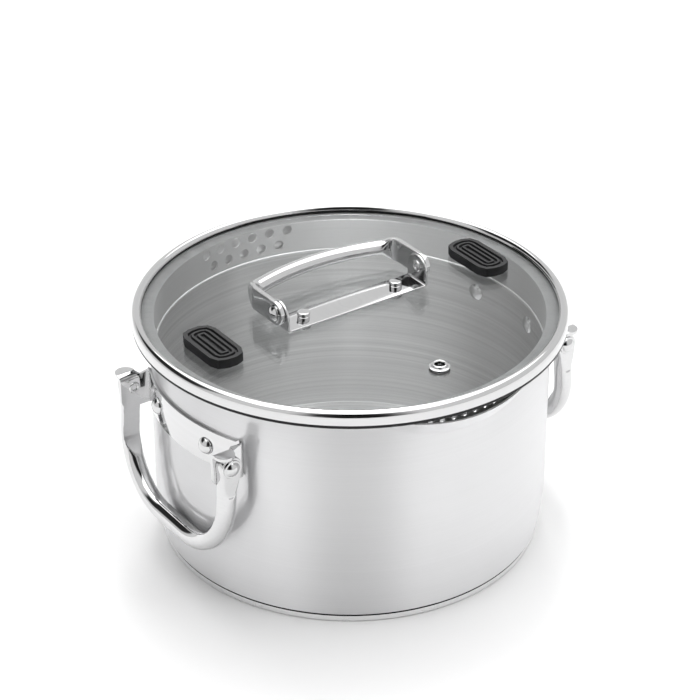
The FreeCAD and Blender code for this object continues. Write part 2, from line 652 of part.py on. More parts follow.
def lid_handle():
    """The folding bail: two tall straps bent at their corners, and a thick bowed grip between them."""
    corner_x = f"({BAIL_X} - bail_corner)"
    bow_y = "(bail_reach - bail_bow)"
    gap = "(bail_bow - bail_corner)"
    rise = f"sqrt({gap} * {gap} - {corner_x} * {corner_x})"
    turn_y = f"({bow_y} + {rise})"
    meet_x = f"({corner_x} * bail_bow / {gap})"
    meet_y = f"({bow_y} + {rise} * bail_bow / {gap})"

    straps = []
    for end, sign in (("right", ""), ("left", "-")):
        strap = doc.addObject("PartDesign::Body", f"bail_strap_{end}")
        section = sketch_on(strap, "XZ_Plane", f"bail_section_{end}")
        near, far = f"{sign}({BAIL_X} - bail_sheet / 2)", f"{sign}({BAIL_X} + bail_sheet / 2)"
        outline(section, [(near, "-bail_height / 2"), (far, "-bail_height / 2"),
                          (far, "bail_height / 2"), (near, "bail_height / 2")])
        path = sketch_on(strap, "XY_Plane", f"bail_path_{end}")
        outline(path, [(f"{sign}{BAIL_X}", "0"), (f"{sign}{BAIL_X}", turn_y), (f"{sign}{meet_x}", meet_y)],
                {1: ("bail_corner", -1 if sign == "" else 1)}, closed=False)
        pipe = strap.newObject("PartDesign::AdditivePipe", f"bail_pipe_{end}")
        pipe.Profile = section
        pipe.Spine = (path, ["Edge1", "Edge2"])
        straps.append(strap)

    # the grip is a thick bar turned about the centre of the bow
    bar = doc.addObject("PartDesign::Body", "bail_bar")
    section = sketch_on(bar, "YZ_Plane", "bar_section")
    section.addGeometry(Part.Circle(FreeCAD.Vector(value("bail_reach"), 0, 0),
                                    FreeCAD.Vector(0, 0, 1), value("bail_grip / 2")))
    held = section.addConstraint(Sketcher.Constraint("Radius", 0, value("bail_grip / 2")))
    section.setExpression(f"Constraints[{held}]", size("bail_grip / 2"))
    bind_point(section, 0, 3, ("bail_reach", "0"))
    centre = value(bow_y)
    axis_line = Part.LineSegment(FreeCAD.Vector(centre, 0, 0), FreeCAD.Vector(centre, value("bail_grip"), 0))
    line = section.addGeometry(axis_line, True)
    bind_point(section, line, 1, (bow_y, "0"))
    section.addConstraint(Sketcher.Constraint("Vertical", line))
    bow = bar.newObject("PartDesign::Revolution", "bar_turned")
    bow.Profile = section
    bow.ReferenceAxis = (section, ["Axis0"])
    bow.Midplane = True
    bow.setExpression("Angle", size(f"2 * asin(({meet_x} + bail_overlap) / bail_bow)"))

    bail = fuse("lid_bail", straps + [bar])
    bores = [cylinder(f"bail_bore_{end}", "pivot_shank / 2 + pivot_fit", "2 * bail_height",
                      (f"{sign}({BAIL_X}) - bail_height", "0", "0"), (0, 1, 0), "90")
             for end, sign in (("right", ""), ("left", "-"))]
    eyes = [cylinder(f"bail_eye_{end}", "bail_height / 2", "bail_sheet",
                     (f"{sign}({BAIL_X}) - bail_sheet / 2", "0", "0"), (0, 1, 0), "90")
            for end, sign in (("right", ""), ("left", "-"))]
    handle_cut = cut("lid_bail_drilled", fuse("lid_bail_eyes", [bail] + eyes), fuse("bail_bores", bores))
    node("lid_handle", put(handle_cut, ("0", "0", BAIL_Z)))


def lid_handle_rivets():
    rivets = []
    for name, sign, angle in (("right", "", 90), ("left", "-", -90)):
        rivet = pivot_rivet(f"lid_handle_rivet_{name}", "lid_bracket_sheet + side_gap + bail_sheet")
        put(rivet, (f"{sign}({LID_EAR_X} - lid_bracket_sheet)", "0", BAIL_Z), turn_about((0, 1, 0), angle))
        rivets.append(rivet)
    node("lid_handle_rivets", group("lid_handle_rivet_pair", rivets))


def ring(name, outer, inner, low, high):
    """A flat ring between two heights."""
    return turned(name, [(inner, low), (outer, low), (outer, high), (inner, high)])


def pair(name, build):
    """Two alike, one at each screw of the lid handle."""
    pieces = []
    for end, sign in (("right", ""), ("left", "-")):
        pieces.append(put(build(f"{name}_{end}"), (f"{sign}{SCREW_X}", "0", "0")))
    node(name, group(name + "_pair", pieces))


def lid_handle_fastening():
    """From below: screw head, gasket, glass, gasket, bracket plate, nut."""
    shank, bore = "screw_shank / 2", "(screw_shank / 2 + pivot_fit)"
    plate_top = f"({PLATE_Z} + lid_bracket_sheet)"
    under = f"({GLASS_Z} - gasket_height)"
    pair("lid_handle_gaskets", lambda name: ring(name, "gasket_diameter / 2", bore, GLASS_TOP, PLATE_Z))
    pair("lid_under_gaskets", lambda name: ring(name, "gasket_diameter / 2", bore, under, GLASS_Z))
    pair("lid_handle_nuts", lambda name: turned(name, [
        (bore, plate_top), ("nut_diameter / 2", plate_top),
        ("nut_diameter / 2", f"{plate_top} + nut_height - lid_sheet"),
        ("nut_diameter / 2 - lid_sheet", f"{plate_top} + nut_height"),
        ("0", f"{plate_top} + nut_height"), ("0", f"{plate_top} + nut_height - lid_sheet"),
        (bore, f"{plate_top} + nut_height - lid_sheet"),
    ]))
    pair("lid_handle_screws", lambda name: turned(name, [
        ("0", f"{under} - screw_head_rise"), ("screw_head / 2 - lid_sheet", f"{under} - screw_head_rise"),
        ("screw_head / 2", f"{under} - screw_head_rise + lid_sheet"), ("screw_head / 2", under),
        (shank, under), (shank, f"{plate_top} + nut_height - 2 * lid_sheet"),
        ("0", f"{plate_top} + nut_height - 2 * lid_sheet"),
    ]))


pot_body()
base()
for half in HALF_TURN:
    handle_bracket(half)
    bracket_rivets(half)
    handle(half)
    pivot_rivets(half)
    thumb_pad(half)
strainer_ring()
lid_rim()
lid_glass()
vent_eyelet()
lid_handle_bracket()
lid_handle()
lid_handle_rivets()
lid_handle_fastening()

doc.recompute()
failed = [thing.Name for thing in doc.Objects if {"Invalid", "Error"} & set(thing.State)]
failed += [name for name, thing in nodes.items() if thing.Shape.isNull() or not thing.Shape.isValid()]
if failed:
    raise RuntimeError("failed: " + ", ".join(failed))

os.makedirs("parts", exist_ok=True)
for name, thing in nodes.items():
    thing.Shape.exportStep(f"parts/{name}.step")
    room = thing.Shape.BoundBox
    print(f"{name:24s} {len(thing.Shape.Solids)} solid(s) {thing.Shape.Volume:12.1f} mm3 "
          f"{room.XLength:7.1f} x {room.YLength:7.1f} x {room.ZLength:7.1f}")
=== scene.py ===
import json
import math

import bmesh
import bpy
from mathutils import Matrix, Vector


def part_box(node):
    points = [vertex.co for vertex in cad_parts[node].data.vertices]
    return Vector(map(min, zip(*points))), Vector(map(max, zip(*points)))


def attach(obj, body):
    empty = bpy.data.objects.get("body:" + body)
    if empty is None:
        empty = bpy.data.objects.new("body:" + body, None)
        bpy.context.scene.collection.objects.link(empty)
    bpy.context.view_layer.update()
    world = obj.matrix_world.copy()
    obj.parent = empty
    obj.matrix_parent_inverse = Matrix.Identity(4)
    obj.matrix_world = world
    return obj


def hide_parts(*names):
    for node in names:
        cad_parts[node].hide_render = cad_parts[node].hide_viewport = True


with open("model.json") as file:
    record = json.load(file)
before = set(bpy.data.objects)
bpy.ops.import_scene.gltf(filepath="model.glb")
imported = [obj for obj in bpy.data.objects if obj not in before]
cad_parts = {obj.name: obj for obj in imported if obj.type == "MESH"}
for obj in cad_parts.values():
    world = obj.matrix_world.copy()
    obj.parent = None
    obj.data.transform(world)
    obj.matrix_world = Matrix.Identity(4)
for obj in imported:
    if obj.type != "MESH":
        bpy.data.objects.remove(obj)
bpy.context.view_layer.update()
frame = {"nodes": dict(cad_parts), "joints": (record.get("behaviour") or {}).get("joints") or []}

# Water bath canner. Pieces are drawn in millimetres and made metres as they are finished.
# +X runs through the right handle, and the pouring lips face -Y and +Y.
metre = 0.001
up = Vector((0, 0, 1))


def boxMm(node):
    low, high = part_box(node)
    return low / metre, high / metre


potLow, potHigh = boxMm("pot_body")
bracketLow, bracketHigh = boxMm("right_handle_bracket")
rimLow, rimHigh = boxMm("lid_rim")
glassLow, glassHigh = boxMm("lid_glass")
plateLow, plateHigh = boxMm("lid_handle_bracket")


# materials, each from one of the metal finishes below or a function of its own

def linear(hexColour):
    channels = []
    for place in (1, 3, 5):
        share = int(hexColour[place:place + 2], 16) / 255
        channels.append(share / 12.92 if share <= 0.04045 else ((share + 0.055) / 1.055) ** 2.4)
    return (*channels, 1.0)


def addNode(tree, kind, settings=None, links=None):
    node = tree.nodes.new(kind)
    for name, setting in (settings or {}).items():
        if isinstance(name, int) or name in node.inputs:
            node.inputs[name].default_value = setting
        else:
            setattr(node, name, setting)
    for name, source in (links or {}).items():
        tree.links.new(source, node.inputs[name])
    return node


def startMaterial(name):
    material = bpy.data.materials.new(name)
    material.use_nodes = True
    material.node_tree.nodes.clear()
    return material, material.node_tree


def perMetre(millimetres):
    return 1 / (millimetres * metre)


def brushLines(tree, finish):
    # brushing that follows the turning: rings on a flat floor, level lines on a wall.
    # real brush lines are finer than 0.3 mm: lineMm is as coarse as it needs to be to show
    place = addNode(tree, "ShaderNodeTexCoord").outputs["Object"]
    split = addNode(tree, "ShaderNodeSeparateXYZ", links={0: place})
    flat = addNode(tree, "ShaderNodeCombineXYZ",
                   links={"X": split.outputs["X"], "Y": split.outputs["Y"]})
    radius = addNode(tree, "ShaderNodeVectorMath", {"operation": "LENGTH"}, {0: flat.outputs[0]})
    rings = addNode(tree, "ShaderNodeCombineXYZ",
                    links={"X": radius.outputs["Value"], "Y": split.outputs["Z"]})
    return addNode(tree, "ShaderNodeTexNoise",
                   {"Scale": perMetre(finish["lineMm"]), "Detail": 4.0, "Roughness": 0.65},
                   {"Vector": rings.outputs[0]})


def metal(name, finish):
    material, tree = startMaterial(name)
    place = addNode(tree, "ShaderNodeTexCoord").outputs["Object"]
    cloud = addNode(tree, "ShaderNodeTexNoise",
                    {"Scale": perMetre(finish["cloudMm"]), "Detail": 3.0}, {"Vector": place})
    lines = brushLines(tree, finish)
    tone = addNode(tree, "ShaderNodeMix", {"data_type": "RGBA", 6: linear(finish["dark"]),
                                           7: linear(finish["light"])}, {0: lines.outputs["Fac"]})
    if finish.get("outside"):
        # painted shade: faces that look away from the axis are painted darker
        flat = addNode(tree, "ShaderNodeVectorMath", {"operation": "MULTIPLY", 1: (1, 1, 0)},
                       {0: place})
        away = addNode(tree, "ShaderNodeVectorMath", {"operation": "NORMALIZE"}, {0: flat.outputs[0]})
        facing = addNode(tree, "ShaderNodeVectorMath", {"operation": "DOT_PRODUCT"},
                         {0: away.outputs[0]})
        tree.links.new(addNode(tree, "ShaderNodeTexCoord").outputs["Normal"], facing.inputs[1])
        shadeAmount = addNode(tree, "ShaderNodeMapRange", {"From Min": 0.2, "From Max": 0.6},
                         {"Value": facing.outputs["Value"]})
        tone = addNode(tree, "ShaderNodeMix", {"data_type": "RGBA", 7: linear(finish["outside"])},
                       {0: shadeAmount.outputs[0], 6: tone.outputs[2]})
    smooth, dull = finish["rough"]
    rough = addNode(tree, "ShaderNodeMapRange", {"To Min": smooth, "To Max": dull},
                    {"Value": cloud.outputs["Fac"]})
    bump = addNode(tree, "ShaderNodeBump",
                   {"Strength": finish["bump"], "Distance": finish["bumpMm"] * metre},
                   {"Height": lines.outputs["Fac"]})
    tangent = addNode(tree, "ShaderNodeTangent", {"direction_type": "RADIAL", "axis": "Z"})
    shader = addNode(tree, "ShaderNodeBsdfPrincipled",
                     {"Metallic": 1.0, "Anisotropic": finish["stretch"], "Anisotropic Rotation": 0.25},
                     {"Base Color": tone.outputs[2], "Roughness": rough.outputs[0],
                      "Normal": bump.outputs[0], "Tangent": tangent.outputs[0]})
    surface = shader.outputs[0]
    if finish.get("gloss"):
        # the buffed skin over the grain
        sheen = addNode(tree, "ShaderNodeBsdfPrincipled",
                        {"Metallic": 1.0, "Roughness": finish["glossRough"]},
                        {"Base Color": tone.outputs[2]})
        surface = addNode(tree, "ShaderNodeMixShader", {0: finish["gloss"]},
                          {1: surface, 2: sheen.outputs[0]}).outputs[0]
    addNode(tree, "ShaderNodeOutputMaterial", links={"Surface": surface})
    return material


# stainless sheet buffed on the turn: near mirror, with reflections drawn out up and down the wall
polishedWall = metal("polishedStainlessWall", {
    "dark": "#e8e8e9", "light": "#f0f0f1", "rough": (0.46, 0.52), "stretch": 0.97,
    "lineMm": 0.9, "cloudMm": 60, "bump": 0.04, "bumpMm": 0.02, "gloss": 0.24, "glossRough": 0.07})
# the same sheet left brushed inside: satin, with rings on the floor and level lines on the wall
brushedInside = metal("brushedStainlessInside", {
    "dark": "#b0b0b0", "light": "#fefefe", "rough": (0.28, 0.36), "stretch": 0.93,
    "lineMm": 2.2, "cloudMm": 45, "bump": 0.12, "bumpMm": 0.05})
# the pressed strainer skirt: satin, brighter than the pot inside, with painted shade on the faces that look
# away from the axis
satinSkirt = metal("satinStainlessSkirt", {
    "dark": "#e2e2e2", "light": "#f6f6f6", "rough": (0.3, 0.4), "stretch": 0.3,
    "lineMm": 0.7, "cloudMm": 45, "bump": 0.1, "bumpMm": 0.05, "outside": "#a2a2a2"})
# rolled, formed and tumbled stainless: near mirror with a faint unevenness
mirrorSteel = metal("tumbledStainlessParts", {
    "dark": "#cccccd", "light": "#d9d9d9", "rough": (0.05, 0.1), "stretch": 0.0,
    "lineMm": 1.6, "cloudMm": 12, "bump": 0.03, "bumpMm": 0.02})
# drawn stainless cap over the base: satin, with turned lines
drawnSteel = metal("turnedStainlessBase", {
    "dark": "#e4e4e4", "light": "#f4f4f4", "rough": (0.24, 0.32), "stretch": 0.5,
    "lineMm": 0.5, "cloudMm": 40, "bump": 0.1, "bumpMm": 0.04})
# stainless painted dark as shade, for folds, seams and gaps that lie in shadow: dark, dull and rough
paintedShadeSteel = metal("paintedShadeStainless", {
    "dark": "#242425", "light": "#343435", "rough": (0.4, 0.5), "stretch": 0.0,
    "lineMm": 1.0, "cloudMm": 10, "bump": 0.05, "bumpMm": 0.02})
# cast aluminium, sealed inside the base: dull and grey
castAluminium = metal("castAluminiumCore", {
    "dark": "#9c9d9f", "light": "#b4b5b7", "rough": (0.45, 0.6), "stretch": 0.0,
    "lineMm": 1.2, "cloudMm": 8, "bump": 0.2, "bumpMm": 0.1})


def toughenedGlass():
    # flat toughened soda-lime glass: clear, and lamps reach what is below it
    finish = {"tint": "#f9fafa", "ior": 1.52, "waveMm": 90, "bump": 0.004}
    material, tree = startMaterial("toughenedSodaLimeGlass")
    place = addNode(tree, "ShaderNodeTexCoord").outputs["Object"]
    wave = addNode(tree, "ShaderNodeTexNoise", {"Scale": perMetre(finish["waveMm"])}, {"Vector": place})
    bump = addNode(tree, "ShaderNodeBump", {"Strength": finish["bump"], "Distance": metre},
                   {"Height": wave.outputs["Fac"]})
    glass = addNode(tree, "ShaderNodeBsdfPrincipled",
                    {"Base Color": linear(finish["tint"]), "Roughness": 0.0, "IOR": finish["ior"],
                     "Transmission Weight": 1.0}, {"Normal": bump.outputs[0]})
    clear = addNode(tree, "ShaderNodeBsdfTransparent", {"Color": linear(finish["tint"])})
    path = addNode(tree, "ShaderNodeLightPath")
    either = addNode(tree, "ShaderNodeMath", {"operation": "MAXIMUM"},
                     {0: path.outputs["Is Shadow Ray"], 1: path.outputs["Is Diffuse Ray"]})
    both = addNode(tree, "ShaderNodeMixShader", links={0: either.outputs[0], 1: glass.outputs[0],
                                                       2: clear.outputs[0]})
    addNode(tree, "ShaderNodeOutputMaterial", links={"Surface": both.outputs[0]})
    return material


def siliconeRubber():
    # compression-moulded silicone rubber: black, satin, with a fine moulded grain
    finish = {"dark": "#141415", "light": "#242426", "grainMm": 0.35, "rough": (0.42, 0.58),
              "bump": 0.25, "bumpMm": 0.05}
    material, tree = startMaterial("mouldedSiliconeRubber")
    place = addNode(tree, "ShaderNodeTexCoord").outputs["Object"]
    grain = addNode(tree, "ShaderNodeTexNoise", {"Scale": perMetre(finish["grainMm"]), "Detail": 2.0},
                    {"Vector": place})
    tone = addNode(tree, "ShaderNodeMix", {"data_type": "RGBA", 6: linear(finish["dark"]),
                                           7: linear(finish["light"])}, {0: grain.outputs["Fac"]})
    smooth, dull = finish["rough"]
    rough = addNode(tree, "ShaderNodeMapRange", {"To Min": smooth, "To Max": dull},
                    {"Value": grain.outputs["Fac"]})
    bump = addNode(tree, "ShaderNodeBump",
                   {"Strength": finish["bump"], "Distance": finish["bumpMm"] * metre},
                   {"Height": grain.outputs["Fac"]})
    shader = addNode(tree, "ShaderNodeBsdfPrincipled", {"IOR": 1.41},
                     {"Base Color": tone.outputs[2], "Roughness": rough.outputs[0],
                      "Normal": bump.outputs[0]})
    addNode(tree, "ShaderNodeOutputMaterial", links={"Surface": shader.outputs[0]})
    return material


clearGlass = toughenedGlass()
blackSilicone = siliconeRubber()
print("materials made")


# ways of shaping that several pieces share

def arcPoints(centre, radius, start, end, count):
    # points along an arc, from one angle in degrees to another
    out = []
    for step in range(count + 1):
        angle = math.radians(start + (end - start) * step / count)
        out.append((centre[0] + radius * math.cos(angle), centre[1] + radius * math.sin(angle)))
    return out


def turned(points, steps=64, closed=False):
    # a chain of (radius, height) points, turned about Z
    bm = bmesh.new()
    verts = [bm.verts.new((x, 0, z)) for x, z in points]
    edges = [bm.edges.new(ends) for ends in zip(verts, verts[1:])]
    if closed:
        edges.append(bm.edges.new((verts[-1], verts[0])))
    bmesh.ops.spin(bm, geom=verts + edges, cent=(0, 0, 0), axis=up, dvec=(0, 0, 0), angle=math.tau,
                   steps=steps, use_merge=True, use_duplicate=False)
    bmesh.ops.remove_doubles(bm, verts=bm.verts, dist=0.002)
    bmesh.ops.recalc_face_normals(bm, faces=bm.faces)
    return bm


def moved(bm, matrix):
    bmesh.ops.transform(bm, matrix=matrix, verts=bm.verts)
    return bm


def joined(parts):
    # several meshes in one
    whole = bmesh.new()
    for part in parts:
        carrier = bpy.data.meshes.new("carrier")
        part.to_mesh(carrier)
        part.free()
        whole.from_mesh(carrier)
        bpy.data.meshes.remove(carrier)
    return whole


def roundCorners(bm, test, offset, segments):
    corners = [v for v in bm.verts if test(v.co)]
    bmesh.ops.bevel(bm, geom=corners, offset=offset, offset_type="OFFSET", affect="VERTICES",
                    segments=segments, profile=0.5, material=-1)


def roundEdges(bm, test, offset, segments):
    folds = [e for e in bm.edges if all(test(v.co) for v in e.verts)]
    bmesh.ops.bevel(bm, geom=folds, offset=offset, offset_type="OFFSET", affect="EDGES",
                    segments=segments, profile=0.5, material=-1)


def extrudeEdge(bm, test, shift):
    edge = next(e for e in bm.edges if all(test(v.co) for v in e.verts))
    new = bmesh.ops.extrude_edge_only(bm, edges=[edge])["geom"]
    bmesh.ops.translate(bm, vec=shift, verts=[v for v in new if isinstance(v, bmesh.types.BMVert)])


def near(a, b, within=0.02):
    return abs(a - b) < within


def rounded(share):
    return share * share * (3 - 2 * share)


def clamped(share):
    return min(max(share, 0.0), 1.0)


def swept(stations, sides=32):
    # a bar through stations of (place, across, rise, half width, half thickness, squareness,
    # lowest and highest reach across)
    bm = bmesh.new()
    ring = bmesh.ops.create_circle(bm, cap_ends=False, radius=1, segments=sides)["verts"]
    edges = list(bm.edges)
    ends = [edges]
    for index, (place, across, rise, wide, thick, square, low, high) in enumerate(stations):
        if index:
            new = bmesh.ops.extrude_edge_only(bm, edges=edges)["geom"]
            fresh = {part for part in new if isinstance(part, bmesh.types.BMVert)}
            edges = [part for part in new
                     if isinstance(part, bmesh.types.BMEdge) and fresh.issuperset(part.verts)]
            ring = [next(e.other_vert(v) for e in v.link_edges if e.other_vert(v) in fresh)
                    for v in ring]
        for step, vert in enumerate(ring):
            angle = math.tau * step / sides
            c, s = math.cos(angle), math.sin(angle)
            aside = min(max(math.copysign(abs(c) ** (2 / square), c) * wide, low), high)
            vert.co = place + across * aside + rise * math.copysign(abs(s) ** (2 / square), s) * thick
    ends.append(edges)
    for loop in ends:
        bmesh.ops.edgeloop_fill(bm, edges=loop)
    bmesh.ops.recalc_face_normals(bm, faces=bm.faces)
    return bm


def crossings(points):
    # for each point of a flat path, the unit way across it
    out = []
    for index in range(len(points)):
        before, after = points[max(index - 1, 0)], points[min(index + 1, len(points) - 1)]
        along = (Vector(after) - Vector(before)).normalized()
        out.append(Vector((-along.y, along.x)))
    return out


def finishPiece(name, bm, body, materials, nodes, sharp=38):
    bmesh.ops.scale(bm, vec=(metre, metre, metre), verts=bm.verts)
    mesh = bpy.data.meshes.new(name)
    bm.to_mesh(mesh)
    bm.free()
    mesh.shade_smooth()
    mesh.set_sharp_from_angle(angle=math.radians(sharp))
    piece = bpy.data.objects.new(name, mesh)
    bpy.context.scene.collection.objects.link(piece)
    for material in materials:
        mesh.materials.append(material)
    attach(piece, body)
    if nodes:
        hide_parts(*nodes)
    return piece


def paintFaces(piece, index, test):
    # faces whose middle passes the test, in millimetres, take another of the piece's materials
    for face in piece.data.polygons:
        if test(face.center / metre):
            face.material_index = index


def addModifier(piece, kind, **settings):
    modifier = piece.modifiers.new(kind.title(), kind)
    for name, setting in settings.items():
        setattr(modifier, name, setting)
    return modifier


def softenEdges(piece, millimetres, segments=2):
    addModifier(piece, "BEVEL", width=millimetres * metre, segments=segments, limit_method="ANGLE",
                angle_limit=math.radians(40), harden_normals=False)


def halfTurn(side):
    return Matrix.Rotation(0.0 if side == "right" else math.pi, 4, "Z")


def pivotMm(joint):
    found = next(j for j in frame["joints"] if j["name"] == joint)
    return Vector(found["pos_m"]) / metre


# the pot: wall, rim and lips in millimetres, the steps round a full turn
pot = {
    "wall": 1.0, "rimReach": 7.0, "flare": 4.0,
    "footInset": 3.0, "taper": 34.0, "footRound": 1.6,
    "lipOffset": 50.0, "lipDrop": 19.0, "lipBulge": 12.5, "notchDepth": 7.0, "notchWidth": 112.0,
    "bareShare": 0.35, "lipRows": 12, "soft": 0.25, "steps": 288}
wallRadius = potHigh.x - pot["rimReach"]
rimZ = potHigh.z


def lipShift(place):
    # near -Y and +Y the rim dips in an arc, and the wall under it opens into a cone
    fromLipFoot = place.z - (rimZ - pot["lipDrop"])
    half = pot["notchWidth"] / 2
    if fromLipFoot <= 0 or abs(place.x) > wallRadius * 0.7:
        return place
    notchRadius = (half ** 2 + pot["notchDepth"] ** 2) / (2 * pot["notchDepth"])
    sag = math.sqrt(notchRadius ** 2 - min(abs(place.x), half) ** 2)
    edge = rimZ - pot["notchDepth"] + notchRadius - sag
    height = fromLipFoot * (edge - rimZ + pot["lipDrop"]) / pot["lipDrop"]
    cone = wallRadius - pot["lipOffset"] + pot["lipBulge"] * height / pot["lipDrop"]
    radius = math.hypot(place.x, place.y)
    aside = pot["lipOffset"] * place.x / radius
    lip = pot["lipOffset"] * abs(place.y) / radius + math.sqrt(cone ** 2 - aside ** 2)
    lip = max(lip, wallRadius)
    # the rolled rim runs out where the dip begins
    bare = rounded(clamped((rimZ - edge) / (pot["notchDepth"] * pot["bareShare"])))
    reach = max(radius, lip) * (1 - bare) + lip * bare
    return Vector((place.x * reach / radius, place.y * reach / radius, rimZ - pot["lipDrop"] + height))


def potShell():
    low = potLow.z
    taperRadius = (pot["taper"] ** 2 + pot["footInset"] ** 2) / (2 * pot["footInset"])

    def inset(height):
        return taperRadius - math.sqrt(taperRadius ** 2 - (pot["taper"] - height) ** 2)

    foot = wallRadius - inset(pot["footRound"])
    points = [(0, low), (foot * 0.5, low)]
    points += arcPoints((foot - pot["footRound"], low + pot["footRound"]), pot["footRound"],
                        -90, 0, 6)
    points += [(wallRadius - inset(height), low + height)
               for height in range(4, int(pot["taper"]), 3)]
    lipFoot, flareFoot = rimZ - pot["lipDrop"], rimZ - pot["wall"] - pot["flare"]
    points += [(wallRadius, low + pot["taper"]), (wallRadius, low + 2 * pot["taper"]),
               (wallRadius, lipFoot)]
    rows = pot["lipRows"]
    points += [(wallRadius, lipFoot + (flareFoot - lipFoot) * row / rows) for row in range(1, rows)]
    points += arcPoints((wallRadius + pot["flare"], flareFoot), pot["flare"], 180, 90, 8)
    points += [(wallRadius + pot["rimReach"], rimZ - pot["wall"])]
    bm = turned(points, pot["steps"])
    for vert in bm.verts:
        vert.co = lipShift(vert.co)
    if min(bm.faces, key=lambda f: f.calc_center_median().z).normal.z > 0:
        bmesh.ops.reverse_faces(bm, faces=bm.faces)
    shell = finishPiece("potShell", bm, "pot", [polishedWall, brushedInside],
                        ["pot_body"])
    addModifier(shell, "SOLIDIFY", thickness=pot["wall"] * metre, offset=-1.0, use_even_offset=True,
                material_offset=1, material_offset_rim=0)
    softenEdges(shell, pot["soft"])


def baseCap():
    cap = {"seamDepth": 1.8, "seamHeight": 0.8, "seamRound": 0.6, "seamShade": 0.3, "edge": 1.6,
           "dish": 0.35, "dishRadius": 104.0, "steps": 256}
    high = boxMm("base_cap")[1]
    radius = high.x
    points = [(0, cap["dish"]), (cap["dishRadius"], cap["dish"]), (cap["dishRadius"] + 1, 0)]
    points += arcPoints((radius - cap["edge"], cap["edge"]), cap["edge"], -90, 0, 8)
    points += arcPoints((radius - cap["seamRound"], high.z - cap["seamHeight"] - cap["seamRound"]),
                        cap["seamRound"], 0, 90, 4)
    points += [(radius - cap["seamDepth"], high.z - cap["seamHeight"]),
               (radius - cap["seamDepth"], high.z), (0, high.z)]
    disc = finishPiece("baseCap", turned(points, cap["steps"]), "pot",
                       [drawnSteel, paintedShadeSteel], ["base_cap"])
    # painted shade: the faces at the top of the seam groove take the dark painted-shade steel
    paintFaces(disc, 1, lambda middle: middle.z > high.z - cap["seamHeight"] - cap["seamShade"])


potShell()
baseCap()
print("pot made")


# rivets, drawn standing along Z and then laid in place

def domeRivet(head, rise, grip, shank, tail, tailRise):
    # a closed rivet along Z: tail below 0, dome above the grip
    def dome(width, height, z, sign):
        radius = (width ** 2 / 4 + height ** 2) / (2 * height)
        span = math.degrees(math.asin(width / 2 / radius))
        return arcPoints((0, z + sign * (height - radius)), radius, sign * (90 - span), sign * 90, 10)

    lip = 0.5
    points = list(reversed(dome(tail, tailRise, -lip, -1)))
    points += [(tail / 2, 0), (shank / 2, 0), (shank / 2, grip), (head / 2, grip)]
    points += dome(head, rise - lip, grip + lip, 1)
    return turned(points, 48)


def hollowRivet(grip):
    # a pivot rivet along Z: rolled hollow tail below 0, and a dome on a stepped collar above the grip
    rivet = {"head": 12.4, "rise": 3.2, "collar": 0.9, "dome": 9.6, "shank": 5.0,
             "tail": 8.0, "tailRise": 1.0, "hollow": 3.4}
    wide, roll = rivet["tail"] / 2, (rivet["tail"] - rivet["hollow"]) / 4
    points = [(0, grip * 0.6), (rivet["hollow"] / 2, grip * 0.6), (rivet["hollow"] / 2, 0)]
    points += [(x, z * rivet["tailRise"] / roll)
               for x, z in arcPoints((wide - roll, 0), roll, 180, 360, 10)]
    points += [(rivet["shank"] / 2, 0.02), (rivet["shank"] / 2, grip), (rivet["head"] / 2, grip),
               (rivet["head"] / 2, grip + rivet["collar"] * 0.6),
               (rivet["head"] / 2 - 0.3, grip + rivet["collar"])]
    height = rivet["rise"] - rivet["collar"]
    radius = (rivet["dome"] ** 2 / 4 + height ** 2) / (2 * height)
    span = math.degrees(math.asin(rivet["dome"] / 2 / radius))
    points += arcPoints((0, grip + rivet["rise"] - radius), radius, 90 - span, 90, 10)
    return turned(points, 48)


# the side handles: the brackets first, then the grips that hang in them
bracket = {"sheet": 2.0, "corner": 6.0, "tabLength": 10.0, "tabWidth": 13.0, "bend": 3.2, "tabBend": 2.2,
           "rivetAngle": 12.6, "rivetHead": 11.5, "rivetRise": 4.0, "rivetShank": 5.0, "headGap": 0.15,
           "soft": 0.4, "softSteps": 3}
earY = bracketHigh.y - bracket["tabLength"]
earX = bracketHigh.x


